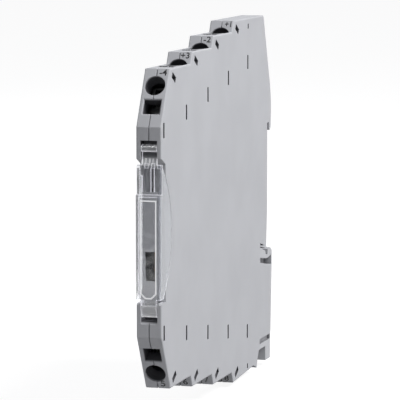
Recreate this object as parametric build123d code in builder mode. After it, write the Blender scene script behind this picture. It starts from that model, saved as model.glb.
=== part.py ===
"""Slim DIN-rail temperature transmitter: two case shells, a clear hinged cover, a sprung foot
latch, and eight cage clamps on a circuit board.

Millimetres. X runs across the slim width, Y from the front to the rail, Z up.
The origin is on the rail seat, half-way across the width and half-way up the case.
Depths are measured back from the front face, and heights from the middle.
"""

from build123d import *

import os
from math import atan2, cos, sin, tan

# Case
module_width = 6.2
case_height = 93.1
seat_depth = 97.0
top_depth = 92.8
nose_half_height = 24.85
level_count = 4
level_pitch = 18.76
level_rise = 2.82
face_setback = 7.25
wall = 0.6
rim_wall = 1.3
edge_radius = 0.35
parting_bevel = 0.14
parting_groove = 0.5
fit_gap = 0.1
touch_gap = 0.03

# Terminals, measured down the sloping face from its upper edge and inwards along the wire
wire_hole_diameter = 5.0
wire_throat_diameter = 4.0
wire_hole_drop = 4.4
driver_web = 1.05
driver_width = 4.2
driver_height = 3.75
driver_reach = 10.2
driver_mouth_bevel = 0.2
mouth_depth = 3.5
clamp_room_length = 10.1
clamp_room_top = 1.6
clamp_room_bottom = 13.0

# Windows in the right side of the case
snap_window_width = 1.1
snap_window_height = 3.6
snap_window_ahead = 5.15
snap_window_below = 14.13
snap_recess = 1.0
core_window_length = 3.3
core_window_width = 1.5
core_window_behind = 3.1
core_window_below = 2.3
core_window_depth = 1.9
top_window_depth = 77.4
top_window_width = 0.9
top_window_height = 1.3
top_window_below = 2.05

# Rail side
rail_height = 35.0
rail_lip = 1.0
hook_reach = 3.5
hook_end = 15.7
hook_relief = 0.2
kink_reach = 2.45
back_kink_height = 28.9
seat_top_end = 15.4
seat_low_end = -6.0
seat_relief = 0.9
slit_length = 6.9
slit_top_front = -14.6
slit_top_back = -15.8
guide_reach = 3.2
guide_top_back = -20.65
guide_low = -39.5
spur_ahead = 3.4

# Foot latch and its folded spring
latch_travel = 1.2
latch_width = 6.0
latch_core_width = 4.5
latch_neck_width = 2.8
latch_nose_reach = 5.5
latch_nose_top = -15.8
latch_arm_thickness = 2.65
latch_arm_drop = 0.95
latch_strap_thickness = 0.6
latch_flange_reach = 4.4
foot_reach = 4.0
foot_low = -46.1
foot_length = 5.0
foot_bar_height = 1.35
spring_ahead = 1.0
spring_low = -35.2
spring_length = 11.2
spring_outside = 3.6
spring_strip = 0.35
spring_strip_width = 3.0
spring_folds = 4
spring_ledge = 1.7

# Front cover and the openings it works in
cover_top = 16.0
cover_low = -15.8
cover_step = 9.0
cover_sheet = 0.6
cover_lower_sheet = 0.8
cover_proud = 0.55
cover_upper_inset = 0.45
wing_radius = 20.4
wing_centre_depth = -12.0
wing_centre_height = -0.5
wing_thickness = 0.5
front_floor = 3.4
front_floor_wall = 1.2
recess_low = -16.75
recess_top = 17.5
panel_width = 1.6
panel_side = 0.5
panel_low = 9.3
panel_top = 15.0
panel_depth = 0.6
panel_corner = 0.6
light_slit_width = 0.4
light_slit_depth = 1.0
tongue_width = 3.8
tongue_lip_radius = 0.4
finger_pocket_top = 21.7
finger_pocket_low = 17.7
finger_pocket_depth = 3.2
finger_ramp = 1.6
hinge_pocket_low = -21.2
hinge_pocket_depth = 3.8
hinge_depth = 1.65
hinge_height = -18.57
hinge_barrel_radius = 1.6
hinge_pin_radius = 0.6
hinge_pin_length = 0.65
hinge_pin_gap = 0.05

# Circuit board and what stands on it
board_side = -0.9
board_thickness = 1.0
board_front_gap = 2.0
board_back_gap = 1.4
board_edge_gap = 0.4
post_size = 2.8
post_pin_diameter = 1.5
post_pin_reach = 1.5
socket_top = -4.9
socket_low = -11.9
socket_opening_left = 1.9
socket_opening_right = 0.9
socket_length = 6.2
socket_flange = 1.5
socket_wall = 0.5
socket_contact_count = 4

# Cage clamps
bar_thickness = 0.6
bar_width = 2.0
bar_drop = 6.9
bar_start = 4.0
bar_turn = 13.0
bar_tail = 18.0
solder_tab_width = 0.6
solder_tab_drop = 17.0
solder_tab_length = 1.3
solder_hole_diameter = 1.1
strip_thickness = 0.4
strip_width = 4.0
strip_window_width = 2.6
strip_loop_radius = 2.15

half_width = module_width / 2
half_height = case_height / 2
first_level = half_height - (level_count - 1) * level_rise
lean = atan2(face_setback, first_level - nose_half_height)
levels = range(level_count)
upper_and_lower = (1, -1)

# Depths on the rail side, from the seat
hook_depth = seat_depth + hook_reach
back_kink_depth = seat_depth + kink_reach
slit_front = seat_depth - slit_length
guide_back = seat_depth + guide_reach
spur_depth = slit_front - spur_ahead
latch_nose_depth = seat_depth + latch_nose_reach
latch_back_low = seat_depth + latch_flange_reach
foot_back = seat_depth + foot_reach
spring_depth = seat_depth - spring_ahead


def at(depth, height):
    """A point of the side view, as Y and Z."""
    return (depth - seat_depth, height)


def level_height(level):
    """Height of the land of a terminal level."""
    return first_level + level * level_rise


def face_top(level):
    """Upper edge of a terminal face, as depth and height."""
    return (face_setback + level * level_pitch, level_height(level))


def on_level(level, side, down, inward):
    """A point measured down the face and inwards along the wire, as depth and height."""
    depth, height = face_top(level)
    depth += inward * cos(lean) - down * sin(lean)
    height -= inward * sin(lean) + down * cos(lean)
    return (depth, side * height)


def level_block(level, side, down_low, down_high, inward_low, inward_high):
    """The corners of a rectangle that is square to a terminal face."""
    return [
        on_level(level, side, down_low, inward_low),
        on_level(level, side, down_low, inward_high),
        on_level(level, side, down_high, inward_high),
        on_level(level, side, down_high, inward_low),
    ]


def upright(depth, height, depth_size, height_size):
    """The corners of an upright rectangle about a point of the side view."""
    half_depth = depth_size / 2
    half_rise = height_size / 2
    return [
        (depth - half_depth, height - half_rise),
        (depth + half_depth, height - half_rise),
        (depth + half_depth, height + half_rise),
        (depth - half_depth, height + half_rise),
    ]


def across(hand, inner, outer):
    """Two places across the width, in order, on the right (1) or the left (-1)."""
    return sorted((hand * inner, hand * outer))


def side_block(points, x_low, x_high, mode=Mode.ADD):
    """Adds or cuts a block with a side-view outline between two places across the width."""
    with BuildSketch(Plane.YZ.offset(x_low)) as sketch:
        with BuildLine():
            Polyline(*[at(*point) for point in points], close=True)
        make_face()
    extrude(sketch.sketch, amount=x_high - x_low, dir=(1, 0, 0), mode=mode)


def side_round(radius, depth, height, x_low, x_high, mode=Mode.ADD):
    """Adds or cuts a round bar that runs across the width."""
    with BuildSketch(Plane.YZ.offset(x_low)) as sketch:
        with Locations(at(depth, height)):
            Circle(radius)
    extrude(sketch.sketch, amount=x_high - x_low, dir=(1, 0, 0), mode=mode)


def finish(piece, name):
    """Names a finished piece and writes it."""
    piece.label = name
    export_step(piece, f"parts/{name}.step")


os.makedirs("parts", exist_ok=True)

# Case outline
arm_root_depth = slit_front + 0.2
arm_root_low = slit_top_front - 0.4 - latch_arm_thickness
guide_top_front = arm_root_low - latch_travel - fit_gap
foot_notch_depth = slit_front - 0.4
foot_notch_low = guide_low - 1.3
foot_notch_tip = guide_low - 2.7
spur_root = (spur_depth - 2.65, -half_height + 0.95)
hook_inner = seat_depth + 2 * rail_lip
hook_groove_top = rail_height / 2 + 0.25


def step_points(side):
    """The stepped edge of the case, from the front face to the last level."""
    points = [(0, side * nose_half_height)]
    for level in levels:
        depth, height = face_top(level)
        if level > 0:
            points.append((depth - level_rise * tan(lean), side * level_height(level - 1)))
        points.append((depth, side * height))
    return points


def case_outline():
    """Side view of the case with its steps, hook, rail seat, latch slit and front recess."""
    kink = at(back_kink_depth, back_kink_height)
    back = at(hook_depth + 0.35, (back_kink_height + hook_end) / 2)
    hook_tip = at(hook_depth - 0.1, hook_end + 0.7)
    with BuildSketch(Plane.YZ) as sketch:
        with BuildLine():
            Polyline(*[at(*point) for point in step_points(1)], at(top_depth, half_height), kink)
            ThreePointArc(kink, back, hook_tip)
            Polyline(
                hook_tip,
                at(hook_depth - 0.8, hook_end),
                at(hook_inner, hook_end),
                at(hook_inner, hook_groove_top),
                at(seat_depth - hook_relief, hook_groove_top),
                at(seat_depth - hook_relief, seat_top_end),
                at(seat_depth, seat_top_end),
                at(seat_depth, seat_low_end),
                at(seat_depth - seat_relief, slit_top_back),
                at(slit_front, slit_top_front),
                at(slit_front, guide_top_front),
                at(guide_back, guide_top_back),
                at(guide_back, guide_low),
                at(foot_notch_depth, guide_low),
                at(foot_notch_depth, foot_notch_low),
                at(foot_notch_depth - 0.7, foot_notch_tip),
                at(foot_notch_depth - 2.1, foot_notch_tip - 2.0),
                at(spur_depth, -half_height),
                at(*spur_root),
                *[at(*point) for point in reversed(step_points(-1))],
                at(0, recess_low),
                at(front_floor, recess_low),
                at(front_floor, cover_top),
                at(0, recess_top),
                at(0, nose_half_height),
            )
        make_face()
    return sketch.sketch


def is_shown_edge(edge, x):
    """True for an edge of the outline at x, on the front, the steps, the top or the bottom."""
    middle = edge.center()
    before_spur = middle.Y + seat_depth < spur_root[0] - 1
    beside_cover = recess_low - fit_gap < middle.Z < recess_top
    return abs(middle.X - x) < 0.01 and before_spur and not beside_cover


def shell_blank(hand):
    """One half of the case outline, rounded outside and grooved at the parting line."""
    extrude(case_outline(), amount=half_width, dir=(hand, 0, 0))
    outer_x = hand * half_width
    fillet(edges().filter_by(lambda edge: is_shown_edge(edge, outer_x)), edge_radius)
    parting_face = faces().filter_by(lambda face: abs(face.center().X) < 0.01)[0]
    parting_edges = edges().filter_by(lambda edge: is_shown_edge(edge, 0))
    chamfer(parting_edges, parting_groove, parting_bevel, reference=parting_face)


# Hollows of the case
bay_front = front_floor + front_floor_wall
bay_last = top_window_depth + 1.6
rib_depth = slit_front - rim_wall
recess_rear = wing_radius + wing_centre_depth + 1.2
recess_side = half_width - wing_thickness - fit_gap
narrow_side = recess_side - 0.55
pocket_side = tongue_width / 2 + 0.15
guide_front = slit_front + 0.9
inner_side = half_width - wall
room_end = mouth_depth + clamp_room_length


def bay_edge(depth, side=1):
    """Height of the sloping roof (1) or floor (-1) of the board bay, clear of the clamp rooms."""
    corner = on_level(0, 1, clamp_room_bottom, room_end)
    return side * (corner[1] - 1.0 + (depth - corner[0]) * level_rise / level_pitch)


def front_bay():
    """Side view of the narrow front end of the board bay, between the wing recesses."""
    return [
        (bay_front, bay_edge(bay_front, -1)),
        (bay_front, bay_edge(bay_front)),
        (recess_rear, bay_edge(recess_rear)),
        (recess_rear, bay_edge(recess_rear, -1)),
    ]


def rear_bay():
    """Side view of the rest of the board bay."""
    hook_side = seat_depth - hook_relief - rim_wall
    top_end = half_height - rim_wall
    low_end = -half_height + rim_wall + 1.0
    shelf = slit_top_front + 3.6
    return [
        (recess_rear, bay_edge(recess_rear, -1)),
        (recess_rear, bay_edge(recess_rear)),
        (bay_last, bay_edge(bay_last)),
        (bay_last, top_end),
        (top_depth - rim_wall, top_end),
        (back_kink_depth - rim_wall, back_kink_height),
        (back_kink_depth - rim_wall, hook_groove_top + rim_wall),
        (hook_side, hook_groove_top + rim_wall),
        (hook_side, shelf),
        (rib_depth, shelf),
        (rib_depth, guide_low + 1.0),
        (rib_depth - 2.6, foot_notch_tip - 0.4),
        (spur_root[0] - 0.5, low_end),
        (bay_last, low_end),
        (bay_last, bay_edge(bay_last, -1)),
    ]


def latch_guide():
    """Side view of the channel that the foot latch slides in, open behind and below."""
    pocket_top = slit_top_front + 1.4
    pocket_back = seat_depth - seat_relief - 0.8
    return [
        (guide_front, pocket_top),
        (guide_front, guide_low - 1.0),
        (guide_back + 1.0, guide_low - 1.0),
        (guide_back + 1.0, guide_top_front + 0.5),
        (pocket_back, guide_top_front + 0.5),
        (pocket_back, pocket_top),
    ]


def driver_channel(level, side):
    """Side view of the screwdriver's way to the clamp."""
    top = wire_hole_drop + wire_hole_diameter / 2 + driver_web
    if level == 0:
        return level_block(level, side, top, top + driver_height, -1.0, mouth_depth + 0.2)
    depth = face_top(level)[0]
    land = side * level_height(level - 1)
    opening = driver_height * cos(lean)
    return [
        (depth - driver_reach - opening, land + side),
        (depth - driver_reach - opening, land),
        on_level(level, side, top + driver_height, mouth_depth + 0.2),
        on_level(level, side, top, mouth_depth + 0.2),
        (depth - driver_reach, land),
        (depth - driver_reach, land + side),
    ]


def wire_plane(level, side, down, inward):
    """Plane square to the wire at a place on or inside the face, facing outwards."""
    depth, height = on_level(level, side, down, inward)
    return Plane(
        origin=(0, *at(depth, height)),
        x_dir=(1, 0, 0),
        z_dir=(0, -cos(lean), side * sin(lean)),
    )


def cut_wire_entry(level, side):
    """Cuts the round mouth, its groove in the land ahead and the throat to the clamp."""
    straight = 2.0
    groove = 12.0
    with BuildSketch(wire_plane(level, side, wire_hole_drop, straight)) as mouth:
        Circle(wire_hole_diameter / 2)
    with BuildSketch(wire_plane(level, side, wire_hole_drop, mouth_depth + 0.2)) as throat:
        Circle(wire_throat_diameter / 2)
    extrude(mouth.sketch, amount=straight + groove, mode=Mode.SUBTRACT)
    loft([mouth.sketch, throat.sketch], mode=Mode.SUBTRACT)


def bevel_driver_mouth(side):
    """Widens the mouth of the first level's screwdriver slot, on the face."""
    middle = wire_hole_drop + wire_hole_diameter / 2 + driver_web + driver_height / 2
    with BuildSketch(wire_plane(0, side, middle, driver_mouth_bevel)) as mouth:
        Rectangle(driver_width, driver_height)
    extrude(mouth.sketch, amount=2 * driver_mouth_bevel, taper=-45, mode=Mode.SUBTRACT)


def cut_terminal(level, side, hand):
    """Cuts one clamp room with its wire entry, screwdriver slot and the way to the board."""
    room = level_block(level, side, clamp_room_top, clamp_room_bottom, mouth_depth, room_end)
    side_block(room, *across(hand, 0, inner_side), Mode.SUBTRACT)
    bar_way = level_block(
        level, side, clamp_room_bottom - 0.5, clamp_room_bottom + 3, bar_turn - 0.7, bar_turn + 0.7
    )
    side_block(bar_way, *across(hand, 0, bar_width / 2 + 0.35), Mode.SUBTRACT)
    channel = driver_channel(level, side)
    side_block(channel, *across(hand, 0, driver_width / 2), Mode.SUBTRACT)
    cut_wire_entry(level, side)


def cut_front(hand):
    """Cuts the wing recess, finger pocket, hinge pocket, hinge pin hole and socket opening."""
    side_round(
        wing_radius + 0.15,
        wing_centre_depth,
        wing_centre_height,
        *across(hand, recess_side, half_width + 1),
        Mode.SUBTRACT,
    )
    ramp_start = finger_pocket_depth - 1.3
    finger_pocket = [
        (-1, finger_pocket_top),
        (finger_pocket_depth, finger_pocket_top),
        (finger_pocket_depth, finger_pocket_low + finger_ramp),
        (ramp_start, finger_pocket_low),
        (ramp_start, cover_top - 0.4),
        (-1, cover_top - 0.4),
    ]
    hinge_pocket = [
        (-1, recess_low + 1),
        (hinge_pocket_depth, recess_low + 1),
        (hinge_pocket_depth, hinge_pocket_low),
        (0.5, hinge_pocket_low),
        (-1, hinge_pocket_low - 1.5),
    ]
    for pocket in (finger_pocket, hinge_pocket):
        side_block(pocket, *across(hand, 0, pocket_side), Mode.SUBTRACT)
    side_round(
        hinge_pin_radius + hinge_pin_gap,
        hinge_depth,
        hinge_height,
        *across(hand, 0, tongue_width / 2 + hinge_pin_length + fit_gap),
        Mode.SUBTRACT,
    )
    opening = upright(front_floor + 0.5, (socket_top + socket_low) / 2, 4.0, socket_top - socket_low)
    opening_side = socket_opening_right if hand > 0 else socket_opening_left
    side_block(opening, *across(hand, 0, opening_side), Mode.SUBTRACT)


def cut_panel(hand):
    """Sinks one of the two panels behind the cover's head, and half of the slit between them."""
    floor_y = at(front_floor, 0)[0]
    middle = (panel_low + panel_top) / 2
    with BuildSketch(Plane.XZ.offset(-floor_y)) as panel:
        with Locations((hand * (panel_side + panel_width / 2), middle)):
            RectangleRounded(panel_width, panel_top - panel_low, panel_corner)
    extrude(panel.sketch, amount=panel_depth, dir=(0, 1, 0), mode=Mode.SUBTRACT)
    slit = upright(front_floor, middle, 2 * light_slit_depth, panel_top - panel_low)
    side_block(slit, *across(hand, 0, light_slit_width / 2), Mode.SUBTRACT)


def hollow_shell(hand):
    """Cuts what both halves share and adds the spring ledge."""
    cut_panel(hand)
    side_block(front_bay(), *across(hand, 0, narrow_side), Mode.SUBTRACT)
    side_block(rear_bay(), *across(hand, 0, inner_side), Mode.SUBTRACT)
    side_block(latch_guide(), *across(hand, 0, inner_side), Mode.SUBTRACT)
    for side in upper_and_lower:
        bevel_driver_mouth(side)
        for level in levels:
            cut_terminal(level, side, hand)
    cut_front(hand)
    ledge = upright(spring_depth, spring_low - spring_ledge / 2, spring_outside, spring_ledge)
    side_block(ledge, *across(hand, touch_gap, inner_side))


# Snap windows, core windows and the posts that hold the board
def snap_place(index, side):
    """Centre of a snap window in the side view."""
    depth = face_setback - snap_window_ahead + index * level_pitch
    height = first_level - snap_window_below + index * level_rise
    return (depth, side * height)


def core_window(level, side):
    """Corners of the slanting window above a wire entry."""
    depth, height = face_top(level)
    corners = []
    for along_sign, rise_sign in ((-1, -1), (1, -1), (1, 1), (-1, 1)):
        along = along_sign * core_window_length / 2
        rise = rise_sign * core_window_width / 2
        corner_depth = depth + core_window_behind + along * cos(lean) + rise * sin(lean)
        corner_height = height - core_window_below - along * sin(lean) + rise * cos(lean)
        corners.append((corner_depth, side * corner_height))
    return corners


pin_places = [(19.0, 13.5), (80.0, -21.0)]
post_places = [*pin_places, (19.0, -13.5), (80.0, 21.0)]
snap_places = [snap_place(index, side) for side in upper_and_lower for index in range(level_count + 1)]
board_far_side = board_side - board_thickness
post_pin_end = board_side + post_pin_reach

# Right shell, the side with the windows
with BuildPart() as housing_shell_right:
    shell_blank(1)
    hollow_shell(1)
    for place in snap_places:
        window = upright(*place, snap_window_width, snap_window_height)
        side_block(window, -1, half_width + 1, Mode.SUBTRACT)
    for side in upper_and_lower:
        side_windows = [core_window(level, side) for level in levels]
        top_window_place = (top_window_depth, side * (half_height - top_window_below))
        side_windows.append(upright(*top_window_place, top_window_width, top_window_height))
        for window in side_windows:
            side_block(window, half_width - core_window_depth, half_width + 1, Mode.SUBTRACT)
    sight_window = [
        (slit_front, slit_top_front + 0.93),
        (slit_front + 4.25, slit_top_front - 0.2),
        (slit_front, slit_top_front + 0.3),
    ]
    side_block(sight_window, inner_side - 1, half_width + 1, Mode.SUBTRACT)
    for place in post_places:
        side_block(upright(*place, post_size, post_size), board_side + touch_gap, inner_side)
    for place in pin_places:
        pin_hole_radius = post_pin_diameter / 2 + fit_gap
        side_round(pin_hole_radius, *place, board_side, post_pin_end + 0.4, Mode.SUBTRACT)
finish(housing_shell_right.part, "housing_shell_right")

# Left shell, with a plain side, snap tabs and the pins that place the board
with BuildPart() as housing_shell_left:
    shell_blank(-1)
    hollow_shell(-1)
    for place in snap_places:
        tab = upright(*place, snap_window_width - 3 * fit_gap, snap_window_height - 4 * fit_gap)
        side_block(tab, -wall, half_width - snap_recess)
    for place in post_places:
        side_block(upright(*place, post_size, post_size), -inner_side, board_far_side - touch_gap)
    for place in pin_places:
        side_round(post_pin_diameter / 2, *place, -inner_side, post_pin_end)
finish(housing_shell_left.part, "housing_shell_left")

# Clear front cover
cover_front = -cover_proud
lower_back = cover_front + cover_lower_sheet
upper_back = cover_upper_inset + cover_sheet
tongue_lip_low = finger_pocket_low + 1.4
tongue_lip_top = tongue_lip_low + 1.6
tongue_front = cover_upper_inset + 0.5


def wing_face(x):
    """Side view of a wing: the cover's depth, with a round edge behind."""
    with BuildSketch(Plane.YZ.offset(x)) as sketch:
        with BuildLine():
            Polyline(
                at(cover_front, cover_low),
                at(cover_front, cover_step),
                at(cover_upper_inset, cover_step),
                at(cover_upper_inset, cover_top),
                at(wing_radius, cover_top),
                at(wing_radius, cover_low),
                close=True,
            )
        make_face()
        with Locations(at(wing_centre_depth, wing_centre_height)):
            Circle(wing_radius, mode=Mode.INTERSECT)
    return sketch.sketch


with BuildPart() as front_cover:
    sheets = [
        (cover_front, cover_low),
        (lower_back, cover_low),
        (lower_back, cover_step - cover_sheet),
        (upper_back, cover_step - cover_sheet),
        (upper_back, cover_top),
        (cover_upper_inset, cover_top),
        (cover_upper_inset, cover_step),
        (cover_front, cover_step),
    ]
    side_block(sheets, -half_width, half_width)
    for wing_x in (-half_width, half_width - wing_thickness):
        extrude(wing_face(wing_x), amount=wing_thickness, dir=(1, 0, 0))
    front_edges = edges().filter_by(
        lambda edge: abs(abs(edge.center().X) - half_width) < 0.01
        and edge.center().Y < at(cover_front + 0.01, 0)[0]
    )
    fillet(front_edges, 0.25)
    tongue = [
        (cover_upper_inset, cover_top - 0.1),
        (upper_back, cover_top - 0.1),
        (upper_back + 0.5, finger_pocket_low),
        (upper_back + 0.55, tongue_lip_top),
        (upper_back - 0.1, tongue_lip_top),
        (0.1, tongue_lip_top - 0.4),
        (0.1, tongue_lip_low),
        (tongue_front, tongue_lip_low),
        (tongue_front, cover_top + 1.4),
    ]
    side_block(tongue, -tongue_width / 2, tongue_width / 2)
    lip_edges = edges().filter_by(Axis.X).filter_by(
        lambda edge: edge.center().Z > tongue_lip_low - 0.01
        and edge.center().Y < at(tongue_front - 0.1, 0)[0]
    )
    fillet(lip_edges, tongue_lip_radius)
    arm = [
        (cover_front, cover_low),
        (lower_back, cover_low),
        (lower_back + 0.35, hinge_height + 1.37),
        (hinge_depth, hinge_height),
        (hinge_depth - 0.45, hinge_height - 1.43),
        (hinge_depth - 1.3, hinge_height - 1.43),
        (hinge_depth - 1.85, hinge_height - 0.43),
        (cover_front, hinge_height + 0.97),
    ]
    side_block(arm, -tongue_width / 2, tongue_width / 2)
    side_round(
        hinge_barrel_radius, hinge_depth, hinge_height, -tongue_width / 2, tongue_width / 2
    )
    pin_end = tongue_width / 2 + hinge_pin_length
    side_round(hinge_pin_radius, hinge_depth, hinge_height, -pin_end, pin_end)
finish(front_cover.part, "front_cover")

# Foot latch: hooked nose on its arm, strap, neck, spring frame, back flange and notched foot
lip_gap_low = -rail_height / 2 - 0.15
lip_gap_back = seat_depth + rail_lip + fit_gap
arm_low = arm_root_low - latch_arm_drop
strap_front = latch_nose_depth - latch_strap_thickness
frame_front = guide_front + 0.4
frame_back = guide_back + 0.3
frame_top = guide_top_back - fit_gap
frame_low = guide_low - 1.4
foot_bar_low = frame_low - foot_bar_height
spring_top = spring_low + spring_length

with BuildPart() as foot_latch:
    nose = [
        (arm_root_depth, slit_top_front - 0.4),
        (seat_depth - 1.1, latch_nose_top - 0.65),
        (seat_depth - 0.8, lip_gap_low),
        (lip_gap_back, lip_gap_low),
        (lip_gap_back, latch_nose_top - 0.5),
        (lip_gap_back + 0.8, latch_nose_top),
        (latch_nose_depth - 1.4, latch_nose_top - 0.4),
        (latch_nose_depth, latch_nose_top - 1.3),
        (latch_nose_depth, frame_top),
        (strap_front, frame_top),
        (strap_front, arm_low + 0.9),
        (strap_front - 0.5, arm_low + 0.4),
        (seat_depth + 1.6, arm_low),
        (seat_depth - 0.5, arm_low),
        (arm_root_depth, arm_root_low),
    ]
    side_block(nose, -latch_width / 2, latch_width / 2)
    neck = [
        (guide_front + 1.0, arm_root_low),
        (guide_back - 0.4, arm_low + 0.4),
        (guide_back - 0.4, frame_top - 0.3),
        (guide_front + 1.0, frame_top - 0.3),
    ]
    side_block(neck, -latch_neck_width / 2, latch_neck_width / 2)
    frame = [
        (frame_front, frame_low),
        (frame_back, frame_low),
        (frame_back, frame_top),
        (frame_front, frame_top),
    ]
    side_block(frame, -latch_core_width / 2, latch_core_width / 2)
    window_low = spring_low - spring_ledge - fit_gap
    spring_window = upright(
        spring_depth, (window_low + spring_top) / 2, spring_outside + 0.6, spring_top - window_low
    )
    side_block(spring_window, -latch_core_width, latch_core_width, Mode.SUBTRACT)
    flange = [
        (frame_back, frame_top),
        (latch_nose_depth, frame_top),
        (latch_back_low, guide_low + 0.7),
        (foot_back, guide_low),
        (foot_back, foot_bar_low),
        (frame_back - 0.4, foot_bar_low),
        (frame_back - 0.4, frame_low),
        (frame_back, frame_low),
    ]
    side_block(flange, -latch_width / 2, latch_width / 2)
    foot = [
        (foot_notch_depth + fit_gap, frame_low),
        (foot_back, frame_low),
        (foot_back, foot_low),
        (foot_back - foot_length, foot_low),
        (foot_back - foot_length, foot_bar_low),
        (foot_notch_depth - 0.6, foot_bar_low),
    ]
    side_block(foot, -latch_width / 2, latch_width / 2)
finish(foot_latch.part, "foot_latch")

# Latch spring: a strip folded to and fro, standing on the ledge of the shells
with BuildPart() as latch_spring:
    fold_rise = (spring_length - 2 * touch_gap - spring_strip) / spring_folds
    fold_low = spring_low + touch_gap + spring_strip / 2
    fold_side = (spring_outside - spring_strip) / 2
    fold_depths = (spring_depth + fold_side, spring_depth - fold_side)
    folds = [at(fold_depths[1], fold_low)]
    for fold in range(spring_folds):
        folds.append(at(fold_depths[fold % 2], fold_low + fold * fold_rise))
        folds.append(at(fold_depths[fold % 2], fold_low + (fold + 1) * fold_rise))
    folds.append(at(fold_depths[spring_folds % 2], fold_low + spring_folds * fold_rise))
    with BuildSketch(Plane.YZ.offset(-spring_strip_width / 2)) as folded_strip:
        with BuildLine() as strip_line:
            FilletPolyline(*folds, radius=0.45 * fold_rise)
        trace(strip_line.line, line_width=spring_strip)
    extrude(folded_strip.sketch, amount=spring_strip_width, dir=(1, 0, 0))
finish(latch_spring.part, "latch_spring")


# Cage clamps: a bar that the wire lies on and is soldered to the board, and a looped strip
def terminal_number(level, side):
    """4 to 1 along the top and 5 to 8 along the bottom, counted from the front."""
    return level_count - level if side > 0 else level_count + 1 + level


def bar_outline(level, side):
    """Side view of the bar: along the wire, then down to the board."""
    low = bar_drop - bar_thickness / 2
    high = bar_drop + bar_thickness / 2
    near = bar_turn - bar_thickness / 2
    far = bar_turn + bar_thickness / 2
    corners = [
        (low, bar_start),
        (low, far - 0.4),
        (low + 0.4, far),
        (bar_tail, far),
        (bar_tail, near),
        (high, near),
        (high, bar_start),
    ]
    return [on_level(level, side, down, inward) for down, inward in corners]


def strip_face(level, side):
    """Side view of the spring strip: under the bar, round the back and up across the wire."""
    top = bar_drop + (bar_thickness + strip_thickness) / 2 + touch_gap
    low = top + 2 * strip_loop_radius + 0.1
    loop_end = bar_turn - bar_thickness / 2 - 0.2 - strip_thickness / 2
    front = bar_start + 1.0
    corners = [(top, front + 1.2), (top, loop_end), (low, loop_end), (low, front), (2.8, front)]
    points = [at(*on_level(level, side, down, inward)) for down, inward in corners]
    with BuildSketch(Plane.YZ.offset(-strip_width / 2)) as sketch:
        with BuildLine() as middle_line:
            FilletPolyline(*points, radius=[strip_loop_radius, strip_loop_radius, 0.6])
        trace(middle_line.line, line_width=strip_thickness)
    return sketch.sketch


bar_x = board_side + touch_gap
for side in upper_and_lower:
    for level in levels:
        number = terminal_number(level, side)
        with BuildPart() as contact_bar:
            side_block(bar_outline(level, side), bar_x, bar_x + bar_width)
            solder_tab = level_block(
                level,
                side,
                solder_tab_drop - solder_tab_width / 2,
                solder_tab_drop + solder_tab_width / 2,
                bar_turn - bar_thickness / 2,
                bar_turn + bar_thickness / 2,
            )
            side_block(solder_tab, bar_x - solder_tab_length, bar_x)
        finish(contact_bar.part, f"contact_bar_{number}")

        with BuildPart() as clamp_spring:
            extrude(strip_face(level, side), amount=strip_width, dir=(1, 0, 0))
            window = level_block(level, side, 3.4, 8.2, bar_start + 0.6, bar_start + 1.4)
            window_half = strip_window_width / 2
            side_block(window, -window_half, window_half, Mode.SUBTRACT)
        finish(clamp_spring.part, f"clamp_spring_{number}")

# Circuit board, with holes for the solder pins and the posts
board_front = bay_front + board_front_gap
board_back = rib_depth - board_back_gap
with BuildPart() as circuit_board:
    board = [
        (board_front, bay_edge(board_front, -1) + board_edge_gap),
        (board_front, bay_edge(board_front) - board_edge_gap),
        (board_back, bay_edge(board_back) - board_edge_gap),
        (board_back, bay_edge(board_back, -1) + board_edge_gap),
    ]
    side_block(board, board_far_side, board_side)
    for place in pin_places:
        hole_radius = post_pin_diameter / 2 + fit_gap
        side_round(hole_radius, *place, board_far_side - 1, board_side + 1, Mode.SUBTRACT)
    solder_places = [
        on_level(level, side, solder_tab_drop, bar_turn) for side in upper_and_lower for level in levels
    ]
    with BuildSketch(Plane.YZ.offset(board_far_side)) as solder_holes:
        with Locations(*[at(*place) for place in solder_places]):
            RegularPolygon(solder_hole_diameter / 2, 12)
    extrude(solder_holes.sketch, amount=board_thickness, dir=(1, 0, 0), mode=Mode.SUBTRACT)
finish(circuit_board.part, "circuit_board")

# Setup socket behind the cover, with its row of contacts
socket_front = bay_front + 0.2
socket_back = socket_front + socket_length
socket_middle = (socket_top + socket_low) / 2
socket_height = socket_top - socket_low
socket_far_x = narrow_side - touch_gap
with BuildPart() as setup_socket:
    shell_height = socket_height + 2 * socket_wall
    body = upright((socket_front + socket_back) / 2, socket_middle, socket_length, shell_height)
    side_block(body, board_side + touch_gap, socket_far_x)
    flange_place = (socket_front + socket_flange / 2, socket_middle)
    side_block(upright(*flange_place, socket_flange, shell_height), -socket_far_x, socket_far_x)
    slot = upright(socket_front + 2.0, socket_middle, 4.0, socket_height - 0.6)
    side_block(slot, -0.2, 1.2, Mode.SUBTRACT)
finish(setup_socket.part, "setup_socket")

with BuildPart() as socket_contacts:
    spacing = (socket_height - 1.6) / (socket_contact_count - 1)
    for index in range(socket_contact_count):
        height = socket_low + 0.8 + index * spacing
        blade = upright(socket_front + 2.35, height, 3.2, 0.9)
        side_block(blade, -0.2 + touch_gap, 0.1)
finish(socket_contacts.part, "socket_contacts")

# Transformer: a flat core with two windows and the winding about its middle leg
core_x = board_side + touch_gap
core_top_x = inner_side - 0.3
core_depth = 47.0
core_length = 14.0
core_height = 16.0
core_rim = 2.4
core_leg = 4.0
leg_low_x = core_x + 0.9
leg_high_x = core_top_x - 0.9
with BuildPart() as transformer_core:
    side_block(upright(core_depth, 0, core_length, core_height), core_x, core_top_x)
    inside_length = core_length - 2 * core_rim
    inside_height = core_height - 2 * core_rim
    side_block(
        upright(core_depth, 0, inside_length, inside_height), core_x - 1, core_top_x + 1, Mode.SUBTRACT
    )
    side_block(upright(core_depth, 0, core_length - core_rim, core_leg), leg_low_x, leg_high_x)
finish(transformer_core.part, "transformer_core")

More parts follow.
